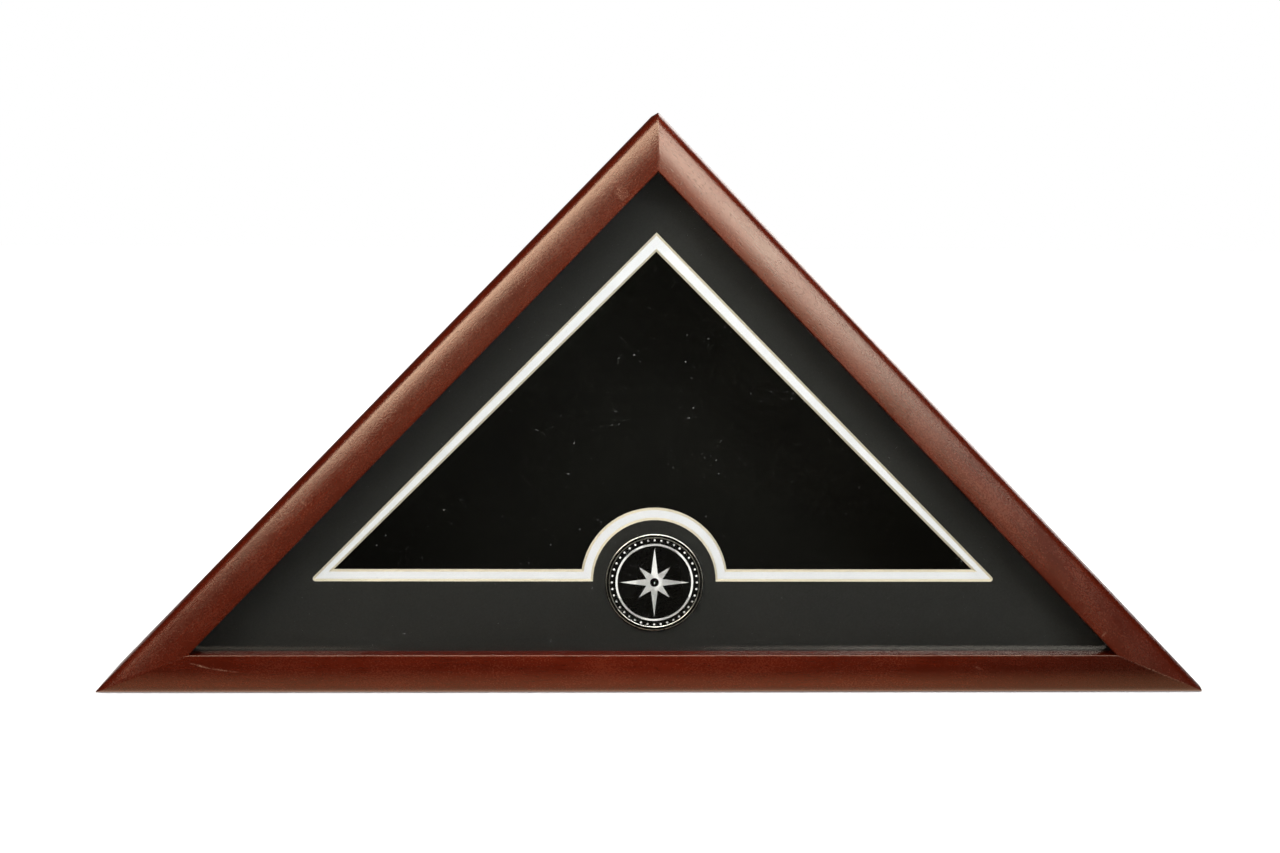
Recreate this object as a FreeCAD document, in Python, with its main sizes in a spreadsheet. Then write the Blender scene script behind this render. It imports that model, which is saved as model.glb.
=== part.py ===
import FreeCAD, Part
import Sketcher
import math
import os
from FreeCAD import Placement, Rotation, Vector

# Folded flag display case, millimetres.
# +X is the width, +Z is up, and the glazed front faces -Y.
# u is the distance in from the outer edge of the triangle, seen from the front.

doc = FreeCAD.newDocument("flag_display_case")
sheet = doc.addObject("Spreadsheet::Sheet", "dims")

cells = [
    # the triangle
    ("case_width", 650.0),
    ("base_angle", 46.0),
    # planes along Y
    ("rail_back_y", -28.744),     # back of the front rails, front edge of the boards
    ("land_y", 47.256),           # rear edge of the boards
    # front rail section
    ("rail_width", 23.5),
    ("rail_wall", 10.548),        # straight part of the outer wall
    ("shoulder_radius", 8.0),
    ("shoulder_end", 114.15),
    ("crown_radius", 52.0),
    ("arris_radius", 0.5),
    ("rabbet_edge", 17.0),
    ("rabbet_depth", 8.4),
    # boards
    ("board_thick", 13.0),
    ("board_depth", 76.0),
    ("back_rabbet_edge", 8.0),
    ("back_rabbet_depth", 3.6),
    # glazing stack, as heights in front of the rails' back plane
    ("pane_edge", 17.5),
    ("pane_thick", 2.0),
    ("spacer_thick", 3.5),
    ("spacer_edge", 22.5),
    ("mat_thick", 1.4),
    ("mat_gap", 0.1),
    ("bevel", 1.3),
    # mat windows
    ("top_window_base", 63.7),
    ("top_window_half", 201.6),
    ("top_window_angle", 45.34),
    ("top_corner_radius", 1.6),
    ("under_window_base", 70.5),
    ("under_window_half", 187.2),
    ("under_window_angle", 44.82),
    ("tab_radius", 36.0),
    ("under_arch_radius", 43.0),
    ("medallion_z", 63.4),
    ("tab_z", 64.0),
    # strips behind the mats
    ("strip_edge", 21.0),
    ("strip_depth", 7.0),
    ("brad_radius", 0.6),
    ("brad_length", 14.0),
    ("nail_leg", 6.0),
    ("nail_thick", 0.6),
    ("nail_depth", 8.0),
    # medallion
    ("disc_radius", 28.5),
    ("disc_thick", 1.6),
    ("disc_rim", 2.3),
    ("recess_depth", 0.45),
    ("pad_radius", 24.0),
    ("pad_thick", 0.4),
    ("inlay_thick", 0.2),
    ("dome_height", 0.95),
    # back
    ("panel_edge", 8.5),
    ("panel_thick", 3.2),
    ("lining_edge", 14.0),
    ("lining_thick", 0.8),
    # turn buttons and their screws
    ("screw_edge", 4.2),
    ("button_root", 3.6),
    ("button_tip", 2.8),
    ("button_reach", 15.0),
    ("button_thick", 1.2),
    ("button_hole", 1.55),
    ("screw_radius", 1.48),
    ("screw_head", 2.8),
    ("screw_head_high", 1.8),
    ("screw_length", 12.0),
    ("washer_radius", 3.2),
    ("washer_thick", 0.6),
    ("button_gap", 0.1),
    ("side_button_low", 125.0),   # along each side, from its middle
    ("side_button_high", -85.0),
    ("base_button_x", 150.0),
    # hanger on the back
    ("hanger_z", 236.0),
    ("hanger_half", 23.0),
    ("hanger_high", 11.0),
    ("hanger_thick", 0.8),
    ("hanger_lift", 1.6),
    ("rivet_x", 19.0),
    ("rivet_radius", 1.4),
    ("rivet_head", 2.5),
    ("bumper_radius", 3.7),
    ("bumper_high", 3.6),
    ("bumper_x", 255.0),
]
for row, (name, value) in enumerate(cells, 1):
    sheet.set("A%d" % row, name)
    sheet.set("B%d" % row, repr(value))
    sheet.setAlias("B%d" % row, name)
doc.recompute()
dim = {name: float(sheet.get(name)) for name, value in cells}

D = "dims."
HALF = "(dims.base_angle / 2)"
APEX = "(90 - dims.base_angle)"
TALL = "(dims.case_width / 2 * tan(dims.base_angle))"
SIDE = "(dims.case_width / 2 / cos(dims.base_angle))"
made = []


def plane(body, role):
    return next(o for o in body.Origin.OriginFeatures if o.Role == role)


def new_body(label):
    body = doc.addObject("PartDesign::Body", label)
    body.Label = label
    made.append(body)
    return body


def value_of(text):
    """The number that an expression gives now, for the sketch's first guess."""
    probe.setExpression("Length", "0 mm + 1 mm * (" + text + ")")
    doc.recompute([probe])
    return probe.Length.Value


probe = doc.addObject("App::FeaturePython", "probe")
probe.addProperty("App::PropertyDistance", "Length")


def sketch_on(body, role, label, lift=None):
    sk = body.newObject("Sketcher::SketchObject", label)
    sk.AttachmentSupport = [(plane(body, role), "")]
    sk.MapMode = "FlatFace"
    if lift is not None:
        sk.setExpression("AttachmentOffset.Base.z", lift)
    return sk


def fix_point(sk, geo, pos, xy):
    for kind, text in (("DistanceX", xy[0]), ("DistanceY", xy[1])):
        number = value_of(text)
        if abs(number) < 1e-9:
            sk.addConstraint(Sketcher.Constraint("PointOnObject", geo, pos, -2 if kind == "DistanceX" else -1))
            continue
        if number > 0:
            index = sk.addConstraint(Sketcher.Constraint(kind, -1, 1, geo, pos, number))
            sk.setExpression("Constraints[%d]" % index, text)
        else:
            index = sk.addConstraint(Sketcher.Constraint(kind, geo, pos, -1, 1, -number))
            sk.setExpression("Constraints[%d]" % index, "-1 * (" + text + ")")


def loop(sk, corners, arcs=None):
    """A closed outline. corners are pairs of expressions; arcs maps an edge's number to
    (radius expression, +1 left-hand turn or -1 right-hand turn, is the long way round)."""
    arcs = arcs or {}
    pts = [Vector(value_of(x), value_of(y), 0) for x, y in corners]
    first = sk.GeometryCount
    n = len(pts)
    for i in range(n):
        a, b = pts[i], pts[(i + 1) % n]
        if i in arcs:
            text, turn, far = arcs[i]
            r = value_of(text)
            mid = (a + b) * 0.5
            chord = (b - a).Length
            off = math.sqrt(max(r * r - chord * chord / 4, 0.0))
            side = Vector(-(b - a).y, (b - a).x, 0) / chord
            centre = mid + side * off * turn * (-1 if far else 1)
            start, end = (a, b) if turn > 0 else (b, a)
            a0 = math.atan2(start.y - centre.y, start.x - centre.x)
            a1 = math.atan2(end.y - centre.y, end.x - centre.x)
            while a1 < a0:
                a1 += 2 * math.pi
            sk.addGeometry(Part.ArcOfCircle(Part.Circle(centre, Vector(0, 0, 1), r), a0, a1))
        else:
            sk.addGeometry(Part.LineSegment(a, b))
    for i in range(n):
        turn = arcs[i][1] if i in arcs else 1
        fix_point(sk, first + i, 1 if turn > 0 else 2, corners[i])
        nxt = (i + 1) % n
        here = 2 if turn > 0 else 1
        there = 1 if (nxt not in arcs or arcs[nxt][1] > 0) else 2
        sk.addConstraint(Sketcher.Constraint("Coincident", first + i, here, first + nxt, there))
        if i in arcs:
            index = sk.addConstraint(Sketcher.Constraint("Radius", first + i, value_of(arcs[i][0])))
            sk.setExpression("Constraints[%d]" % index, arcs[i][0])


def ring(sk, xy, radius):
    c = Vector(value_of(xy[0]), value_of(xy[1]), 0)
    geo = sk.addGeometry(Part.Circle(c, Vector(0, 0, 1), value_of(radius)))
    fix_point(sk, geo, 3, xy)
    index = sk.addConstraint(Sketcher.Constraint("Radius", geo, value_of(radius)))
    sk.setExpression("Constraints[%d]" % index, radius)


def pad(body, sk, length, reverse=False, middle=False):
    f = body.newObject("PartDesign::Pad", sk.Label + "_pad")
    f.Profile = sk
    f.Reversed = reverse
    if middle:
        f.SideType = "Symmetric"
    f.setExpression("Length", length)
    doc.recompute()
    return f


def pocket(body, sk, length, reverse=False, middle=False):
    before = body.Shape.Volume
    f = body.newObject("PartDesign::Pocket", sk.Label + "_cut")
    f.Profile = sk
    f.Reversed = reverse
    if middle:
        f.SideType = "Symmetric"
    f.setExpression("Length", length)
    doc.recompute()
    if not f.Shape.Volume < before - 1e-6:
        raise RuntimeError("nothing was cut by " + f.Label)
    return f


def inset(u):
    """The three corners of the triangle that lies u inside the outer edge."""
    half = "(dims.case_width / 2 - (%s) / tan%s)" % (u, HALF)
    return [("-1 * " + half, u), (half, u), ("0", "(%s) + %s * tan(dims.base_angle)" % (u, half))]


# ---------------------------------------------------------------- sticks
# A stick is cut from a length of stock that lies along X, with its outer edge on z = 0 and
# its inside towards +Z, then mitred at both ends and turned into its side of the triangle.

# The mitre at the apex is cut at 90 - base_angle, those at the base at half of base_angle.
SIDES = {
    "bottom": {"length": "dims.case_width", "ends": (HALF, HALF)},
    "left": {"length": SIDE, "ends": (APEX, HALF)},
    "right": {"length": SIDE, "ends": (HALF, APEX)},
}


def set_side(obj, side, y_text):
    if side == "left":
        obj.Placement = Placement(Vector(), Rotation(Vector(0, 1, 0), 180 - dim["base_angle"]))
        obj.setExpression("Placement.Rotation.Angle", "180 - dims.base_angle")
        obj.setExpression("Placement.Base.x", "-1 * dims.case_width / 4")
        obj.setExpression("Placement.Base.z", TALL + " / 2")
    elif side == "right":
        obj.Placement = Placement(Vector(), Rotation(Vector(0, -1, 0), 180 - dim["base_angle"]))
        obj.setExpression("Placement.Rotation.Angle", "180 - dims.base_angle")
        obj.setExpression("Placement.Base.x", "dims.case_width / 4")
        obj.setExpression("Placement.Base.z", TALL + " / 2")
    obj.setExpression("Placement.Base.y", y_text)


def stick(label, side, corners, y_text, arcs=None):
    body = new_body(label)
    spec = SIDES[side]
    sk = sketch_on(body, "YZ_Plane", label + "_section")
    loop(sk, corners, arcs)
    pad(body, sk, spec["length"], middle=True)
    cut = sketch_on(body, "XZ_Plane", label + "_mitres")
    low, high = "-5", "30"
    for sign, angle in (("-1 * ", spec["ends"][0]), ("", spec["ends"][1])):
        def at(u):
            return "%s(%s / 2 - (%s) / tan%s)" % (sign, spec["length"], u, angle)
        far = "%s(%s / 2 + 40)" % (sign, spec["length"])
        loop(cut, [(at(high), high), (far, high), (far, low), (at(low), low)])
    pocket(body, cut, "300", middle=True)
    set_side(body, side, y_text)
    return body


# Section of the front rail, as (-v, u): v is the height in front of the rail's back.
A, RA, RB, RC, W = "dims.shoulder_end", "dims.shoulder_radius", "dims.crown_radius", "dims.arris_radius", "dims.rail_width"
BU = "(%s + (%s - %s) * cos(%s))" % (RA, RA, RB, A)
BV = "(dims.rail_wall + (%s - %s) * sin(%s))" % (RA, RB, A)
BETA = "acos((%s - %s - %s) / (%s - %s))" % (W, RC, BU, RB, RC)
rail_corners = [
    ("0", "0"),
    ("-1 * dims.rail_wall", "0"),
    ("-1 * (dims.rail_wall + %s * sin(%s))" % (RA, A), "%s * (1 + cos(%s))" % (RA, A)),
    ("-1 * (%s + %s * sin(%s))" % (BV, RB, BETA), "%s + %s * cos(%s)" % (BU, RB, BETA)),
    ("-1 * (%s + (%s - %s) * sin(%s))" % (BV, RB, RC, BETA), W),
    ("-1 * dims.rabbet_depth", W),
    ("-1 * dims.rabbet_depth", "dims.rabbet_edge"),
    ("0", "dims.rabbet_edge"),
]
rail_arcs = {1: (RA, -1, False), 2: (RB, -1, False), 3: (RC, -1, False)}
board_corners = [
    ("-1 * dims.board_depth", "0"),
    ("0", "0"),
    ("0", "dims.back_rabbet_edge"),
    ("-1 * dims.back_rabbet_depth", "dims.back_rabbet_edge"),
    ("-1 * dims.back_rabbet_depth", "dims.board_thick"),
    ("-1 * dims.board_depth", "dims.board_thick"),
]
MAT_FRONT = "(dims.mat_gap + 2 * dims.mat_thick)"
spacer_corners = [
    ("-1 * (%s + dims.spacer_thick)" % MAT_FRONT, "dims.pane_edge"),
    ("-1 * " + MAT_FRONT, "dims.pane_edge"),
    ("-1 * " + MAT_FRONT, "dims.spacer_edge"),
    ("-1 * (%s + dims.spacer_thick)" % MAT_FRONT, "dims.spacer_edge"),
]
strip_corners = [
    ("0", "dims.board_thick"),
    ("dims.strip_depth", "dims.board_thick"),
    ("dims.strip_depth", "dims.strip_edge"),
    ("0", "dims.strip_edge"),
]
# Along each side: where the turn buttons' screws stand.
BUTTONS = {
    "left": (("low", "dims.side_button_low"), ("high", "dims.side_button_high")),
    "right": (("low", "-1 * dims.side_button_low"), ("high", "-1 * dims.side_button_high")),
    "bottom": (("left", "-1 * dims.base_button_x"), ("right", "dims.base_button_x")),
}
boards = {}
for side in ("left", "right", "bottom"):
    stick(side + "_front_rail", side, rail_corners, "dims.rail_back_y", rail_arcs)
    name = "bottom_board" if side == "bottom" else side + "_side_board"
    board = boards[side] = stick(name, side, board_corners, "dims.land_y")
    holes = sketch_on(board, "XZ_Plane", name + "_pilot_holes")
    for where, along in BUTTONS[side]:
        ring(holes, (along, "dims.screw_edge"), "dims.screw_radius + 0.01")
    pocket(board, holes, "dims.screw_length + 0.4", reverse=True)
    stick(side + "_glass_spacer", side, spacer_corners, "dims.rail_back_y")
    stick(side + "_mat_strip", side, strip_corners, "dims.rail_back_y")

# ---------------------------------------------------------------- plates


def plate(label, u, thick, y_text):
    """A triangular plate. Its rear face is on y_text and it goes forward."""
    body = new_body(label)
    sk = sketch_on(body, "XZ_Plane", label + "_outline")
    loop(sk, inset(u))
    pad(body, sk, thick)
    body.setExpression("Placement.Base.y", y_text)
    return body


glass = plate("glass_pane", "dims.pane_edge", "dims.pane_thick",
              "dims.rail_back_y - %s - dims.spacer_thick" % MAT_FRONT)


def window(base, half, angle, tab, grow, corner=None):
    """A triangular window with a round tab at its foot, grown on all sides by grow."""
    g = "(%s)" % grow
    z0 = "(%s - %s)" % (base, g)
    hw = "(%s + %s / tan(%s / 2))" % (half, g, angle)
    r = "(%s - %s)" % (tab, g)
    foot = "sqrt(%s^2 - (dims.tab_z - %s)^2)" % (r, z0)
    top = ("0", "(%s + %s * tan(%s))" % (z0, hw, angle))
    if corner is None:
        pts = [("-1 * " + hw, z0), ("-1 * " + foot, z0), (foot, z0), (hw, z0), top]
        return pts, {1: (r, -1, None)}
    c = "(%s + %s)" % (corner, g)
    run = "(%s / tan(%s / 2))" % (c, angle)
    along, rise = "(%s * cos(%s))" % (run, angle), "(%s * sin(%s))" % (run, angle)
    pts = [
        ("-1 * (%s - %s)" % (hw, run), z0), ("-1 * " + foot, z0), (foot, z0), ("%s - %s" % (hw, run), z0),
        ("%s - %s" % (hw, along), "%s + %s" % (z0, rise)), top,
        ("-1 * (%s - %s)" % (hw, along), "%s + %s" % (z0, rise)),
    ]
    return pts, {1: (r, -1, None), 3: (c, 1, False), 6: (c, 1, False)}


def set_far(pts, arcs):
    """The tab's arc is the long way round where its centre is above the foot of the window."""
    text, turn, far = arcs[1]
    arcs[1] = (text, turn, value_of("dims.tab_z - " + pts[1][1]) > 0)
    return pts, arcs


def mat(label, base, half, angle, tab, front, corner=None):
    """A mat board with a bevelled window: wider at the front face than at the rear."""
    body = plate(label, "dims.pane_edge", "dims.mat_thick", front)
    wires = []
    for tag, lift, grow in (("rear", "-0.2", "-0.2 * dims.bevel / dims.mat_thick"),
                            ("front", "dims.mat_thick + 0.2", "dims.bevel * (1 + 0.2 / dims.mat_thick)")):
        sk = sketch_on(body, "XZ_Plane", label + "_window_" + tag, lift)
        loop(sk, *set_far(*window(base, half, angle, tab, grow, corner)))
        wires.append(sk)
    doc.recompute()
    before = body.Shape.Volume
    f = body.newObject("PartDesign::SubtractiveLoft", label + "_window")
    f.Profile = wires[0]
    f.Sections = [wires[1]]
    f.Ruled = True
    doc.recompute()
    if not f.Shape.Volume < before - 1e-6:
        raise RuntimeError("no window in " + label)
    return body


# The windows' sizes are given at the rear edge of each bevel.
top = mat("top_mat", "(dims.top_window_base + dims.bevel)",
          "(dims.top_window_half - dims.bevel / tan(dims.top_window_angle / 2))", "dims.top_window_angle",
          "(dims.tab_radius + dims.bevel)", "dims.rail_back_y - dims.mat_gap - dims.mat_thick",
          "(dims.top_corner_radius - dims.bevel)")
under = mat("under_mat", "dims.under_window_base", "dims.under_window_half", "dims.under_window_angle", "dims.under_arch_radius",
            "dims.rail_back_y - dims.mat_gap")

# ---------------------------------------------------------------- medallion
MAT_FACE = "(dims.rail_back_y - %s)" % MAT_FRONT


def turned(label, corners, arcs=None, back="0"):
    """A turned piece: its axis is Y, and its section is (y, radius)."""
    body = new_body(label)
    sk = sketch_on(body, "YZ_Plane", label + "_section")
    loop(sk, corners, arcs)
    f = body.newObject("PartDesign::Revolution", label + "_turned")
    f.Profile = sk
    f.ReferenceAxis = (sk, ["H_Axis"])
    f.Angle = 360
    doc.recompute()
    body.setExpression("Placement.Base.y", back)
    body.setExpression("Placement.Base.z", "dims.medallion_z")
    return body


P, T, R0, RIM, REC = "dims.pad_thick", "dims.disc_thick", "dims.disc_radius", "dims.disc_rim", "dims.recess_depth"
turned("medallion_pad", [("0", "0"), ("0", "dims.pad_radius"), ("-1 * " + P, "dims.pad_radius"), ("-1 * " + P, "0")], back=MAT_FACE)
turned("medallion_disc", [
    ("-1 * " + P, "0"), ("-1 * " + P, R0 + " - 0.3"), ("-1 * %s - 0.3" % P, R0),
    ("-1 * (%s + %s) + 0.4" % (P, T), R0), ("-1 * (%s + %s)" % (P, T), R0 + " - 0.4"),
    ("-1 * (%s + %s)" % (P, T), "%s - %s" % (R0, RIM)),
    ("-1 * (%s + %s - %s)" % (P, T, REC), "%s - %s" % (R0, RIM)), ("-1 * (%s + %s - %s)" % (P, T, REC), "0"),
], back=MAT_FACE)
FLOOR = "(%s + %s - %s)" % (P, T, REC)
INR = "(%s - %s - 0.05)" % (R0, RIM)
DOME0 = "(%s + dims.inlay_thick)" % FLOOR
dome_r = "((%s^2 + (dims.dome_height - 0.2)^2) / 2 / (dims.dome_height - 0.2))" % INR
turned("medallion_dome", [
    ("-1 * " + DOME0, "0"), ("-1 * " + DOME0, INR), ("-1 * (%s + 0.2)" % DOME0, INR),
    ("-1 * (%s + dims.dome_height)" % DOME0, "0"),
], {2: (dome_r, 1, False)}, back=MAT_FACE)


def design(sk):
    """An eight-pointed compass rose, a plain ring and a circle of beads."""
    star = []
    for i in range(32):
        r = {0: "20.2", 2: "5.2", 4: "12.6", 6: "5.2"}.get(i % 8)
        if r is None:
            continue
        a = "%.4f" % (90 + i * 11.25)
        star.append(("%s * cos(%s)" % (r, a), "%s * sin(%s)" % (r, a)))
    loop(sk, star)
    ring(sk, ("0", "0"), "2.6")
    ring(sk, ("0", "0"), "22.8")
    ring(sk, ("0", "0"), "21.6")
    for i in range(40):
        a = "%.4f" % (i * 9.0)
        ring(sk, ("24.9 * cos(%s)" % a, "24.9 * sin(%s)" % a), "0.62")


inlay = new_body("medallion_black_inlay")
sk = sketch_on(inlay, "XZ_Plane", "inlay_outline", FLOOR)
ring(sk, ("0", "0"), INR)
pad(inlay, sk, "dims.inlay_thick")
sk = sketch_on(inlay, "XZ_Plane", "inlay_cells", FLOOR + " - 0.1")
design(sk)
pocket(inlay, sk, "dims.inlay_thick + 0.2", reverse=True)
white = new_body("medallion_white_design")
sk = sketch_on(white, "XZ_Plane", "white_design_outline", FLOOR)
design(sk)
pad(white, sk, "dims.inlay_thick")
for body in (inlay, white):
    body.setExpression("Placement.Base.y", MAT_FACE)
    body.setExpression("Placement.Base.z", "dims.medallion_z")

# ---------------------------------------------------------------- back
PANEL_FRONT = "(dims.land_y - dims.back_rabbet_depth)"
panel = plate("back_panel", "dims.panel_edge", "dims.panel_thick", PANEL_FRONT + " + dims.panel_thick")
sk = sketch_on(panel, "XZ_Plane", "rivet_holes")
for sign in ("-1 * ", ""):
    ring(sk, (sign + "dims.rivet_x", "dims.hanger_z"), "dims.rivet_radius")
pocket(panel, sk, "20", middle=True)
plate("back_lining", "dims.lining_edge", "dims.lining_thick", PANEL_FRONT)
PANEL_BACK = "(%s + dims.panel_thick)" % PANEL_FRONT

# Sawtooth hanger: a strip bent up in the middle, with teeth along its lower edge.
hanger = new_body("sawtooth_hanger")
sk = sketch_on(hanger, "XY_Plane", "hanger_bend")
HH, HT, HL = "dims.hanger_half", "dims.hanger_thick", "dims.hanger_lift"
loop(sk, [
    ("-1 * " + HH, "0"), ("-1 * (%s - 8.5)" % HH, "0"), ("-1 * (%s - 11)" % HH, HL), ("%s - 11" % HH, HL),
    ("%s - 8.5" % HH, "0"), (HH, "0"), (HH, HT), ("%s - 8.9" % HH, HT), ("%s - 11.4" % HH, "%s + %s" % (HL, HT)),
    ("-1 * (%s - 11.4)" % HH, "%s + %s" % (HL, HT)), ("-1 * (%s - 8.9)" % HH, HT), ("-1 * " + HH, HT),
])
pad(hanger, sk, "dims.hanger_high", middle=True)
sk = sketch_on(hanger, "XZ_Plane", "hanger_teeth")
for i in range(-4, 5):
    x = "%.2f" % (i * 2.3)
    loop(sk, [(x + " - 1", "-1 * dims.hanger_high / 2 - 1"), (x + " + 1", "-1 * dims.hanger_high / 2 - 1"),
              (x + " + 1", "-1 * dims.hanger_high / 2 + 0.4"), (x, "-1 * dims.hanger_high / 2 + 2.2"),
              (x + " - 1", "-1 * dims.hanger_high / 2 + 0.4")])
pocket(hanger, sk, "30", middle=True)
sk = sketch_on(hanger, "XZ_Plane", "hanger_holes")
for sign in ("-1 * ", ""):
    ring(sk, (sign + "dims.rivet_x", "0"), "dims.rivet_radius")
pocket(hanger, sk, "30", middle=True)
hanger.setExpression("Placement.Base.y", PANEL_BACK)
hanger.setExpression("Placement.Base.z", "dims.hanger_z")

rivets = new_body("hanger_rivets")
sk = sketch_on(rivets, "XZ_Plane", "rivet_shanks")
for sign in ("-1 * ", ""):
    ring(sk, (sign + "dims.rivet_x", "0"), "dims.rivet_radius")
pad(rivets, sk, "dims.panel_thick - 0.4")
sk = sketch_on(rivets, "XZ_Plane", "rivet_necks")
for sign in ("-1 * ", ""):
    ring(sk, (sign + "dims.rivet_x", "0"), "dims.rivet_radius")
pad(rivets, sk, "dims.hanger_thick + 0.3", reverse=True)
sk = sketch_on(rivets, "XZ_Plane", "rivet_heads", "-1 * dims.hanger_thick")
for sign in ("-1 * ", ""):
    ring(sk, (sign + "dims.rivet_x", "0"), "dims.rivet_head")
pad(rivets, sk, "1.0", reverse=True)


def round_heads(body, y, radius, least):
    """Round the outer circles that lie at height y in the body's own frame."""
    base = body.Tip
    names = []
    for i, e in enumerate(base.Shape.Edges):
        if hasattr(e.Curve, "Radius") and e.Curve.Radius > least and all(abs(v.Point.y - y) < 1e-4 for v in e.Vertexes):
            names.append("Edge%d" % (i + 1))
    f = body.newObject("PartDesign::Fillet", body.Label + "_round")
    f.Base = (base, names)
    f.setExpression("Radius", radius)
    doc.recompute()


round_heads(rivets, dim["hanger_thick"] + 1.0, "0.8", dim["rivet_radius"] + 0.1)
rivets.setExpression("Placement.Base.y", PANEL_BACK)
rivets.setExpression("Placement.Base.z", "dims.hanger_z")

# ---------------------------------------------------------------- turn buttons


def on_side(side, along, u):
    """Where a point of a stick lies on the case: expressions for X and Z."""
    c, s = "cos(dims.base_angle)", "sin(dims.base_angle)"
    if side == "bottom":
        return "(%s)" % along, "(%s)" % u
    if side == "left":
        return ("(-1 * dims.case_width / 4 - (%s) * %s + (%s) * %s)" % (along, c, u, s),
                "(%s / 2 - (%s) * %s - (%s) * %s)" % (TALL, along, s, u, c))
    return ("(dims.case_width / 4 - (%s) * %s - (%s) * %s)" % (along, c, u, s),
            "(%s / 2 + (%s) * %s - (%s) * %s)" % (TALL, along, s, u, c))


BUTTON_Y = "(dims.land_y + dims.washer_thick + dims.button_gap)"
spots = []
for side in ("left", "right", "bottom"):
    for where, along in BUTTONS[side]:
        x, z = on_side(side, along, "dims.screw_edge")
        spots.append((side, where, x, z))
        body = new_body("turn_button_%s_%s" % (side, where))
        sk = sketch_on(body, "XZ_Plane", body.Label + "_outline")
        # The blade lies along +X of its own frame, which is set along the case's edge.
        lean = "asin((dims.button_root - dims.button_tip) / dims.button_reach)"
        rr, rt, reach = "dims.button_root", "dims.button_tip", "dims.button_reach"
        loop(sk, [
            ("%s * sin(%s)" % (rr, lean), "-1 * %s * cos(%s)" % (rr, lean)),
            ("%s + %s * sin(%s)" % (reach, rt, lean), "-1 * %s * cos(%s)" % (rt, lean)),
            ("%s + %s * sin(%s)" % (reach, rt, lean), "%s * cos(%s)" % (rt, lean)),
            ("%s * sin(%s)" % (rr, lean), "%s * cos(%s)" % (rr, lean)),
        ], {1: (rt, 1, False), 3: (rr, 1, True)})
        ring(sk, ("0", "0"), "dims.button_hole")
        pad(body, sk, "dims.button_thick", reverse=True)
        # a pressed thumb rib near the tip
        sk = sketch_on(body, "XZ_Plane", body.Label + "_rib", "-1 * dims.button_thick + 0.1")
        loop(sk, [("9", "-0.9"), ("15", "-0.9"), ("15", "0.9"), ("9", "0.9")], {1: ("1.0", 1, False), 3: ("1.0", 1, False)})
        pad(body, sk, "0.8", reverse=True)
        if side == "left":
            # the blade points up the left side
            body.Placement = Placement(Vector(), Rotation(Vector(0, -1, 0), dim["base_angle"]))
            body.setExpression("Placement.Rotation.Angle", "dims.base_angle")
        elif side == "right":
            body.Placement = Placement(Vector(), Rotation(Vector(0, -1, 0), 180 - dim["base_angle"]))
            body.setExpression("Placement.Rotation.Angle", "180 - dims.base_angle")
        elif where == "right":
            body.Placement = Placement(Vector(), Rotation(Vector(0, -1, 0), 180))
        body.setExpression("Placement.Base.x", x)
        body.setExpression("Placement.Base.z", z)
        body.setExpression("Placement.Base.y", BUTTON_Y)

washers = new_body("turn_button_washers")
sk = sketch_on(washers, "XZ_Plane", "washer_outlines")
for side, where, x, z in spots:
    ring(sk, (x, z), "dims.washer_radius")
    ring(sk, (x, z), "dims.screw_radius + 0.02")
pad(washers, sk, "dims.washer_thick", reverse=True)
washers.setExpression("Placement.Base.y", "dims.land_y")

screws = new_body("turn_button_screws")
HEAD = "(dims.washer_thick + dims.button_thick + 2 * dims.button_gap)"
sk = sketch_on(screws, "XZ_Plane", "screw_shanks", "dims.screw_length")
for side, where, x, z in spots:
    ring(sk, (x, z), "dims.screw_radius")
pad(screws, sk, "dims.screw_length + %s + 0.2" % HEAD, reverse=True)
sk = sketch_on(screws, "XZ_Plane", "screw_heads", "-1 * " + HEAD)
for side, where, x, z in spots:
    ring(sk, (x, z), "dims.screw_head")
pad(screws, sk, "dims.screw_head_high", reverse=True)
round_heads(screws, value_of(HEAD + " + dims.screw_head_high"), "dims.screw_head_high * 0.6", dim["screw_radius"] + 0.1)
sk = sketch_on(screws, "XZ_Plane", "screw_cross", "-1 * (%s + dims.screw_head_high)" % HEAD)
for side, where, x, z in spots:
    a, b = "0.3", "1.35"
    ways = [(b, a, 1, -1), (b, a, 1, 1), (a, a, 1, 1), (a, b, 1, 1), (a, b, -1, 1), (a, a, -1, 1),
            (b, a, -1, 1), (b, a, -1, -1), (a, a, -1, -1), (a, b, -1, -1), (a, b, 1, -1), (a, a, 1, -1)]
    loop(sk, [("%s + %d * %s" % (x, sx, dx), "%s + %d * %s" % (z, sz, dz)) for dx, dz, sx, sz in ways])
pocket(screws, sk, "1.0", reverse=True)
screws.setExpression("Placement.Base.y", "dims.land_y")

bumpers = new_body("wall_bumpers")
sk = sketch_on(bumpers, "XZ_Plane", "bumper_outlines")
for sign in ("-1 * ", ""):
    ring(sk, (sign + "dims.bumper_x", "dims.bumper_radius + 0.3"), "dims.bumper_radius")
pad(bumpers, sk, "dims.bumper_high", reverse=True)
round_heads(bumpers, dim["bumper_high"], "1.4", 1.0)
bumpers.setExpression("Placement.Base.y", "dims.land_y")

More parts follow.
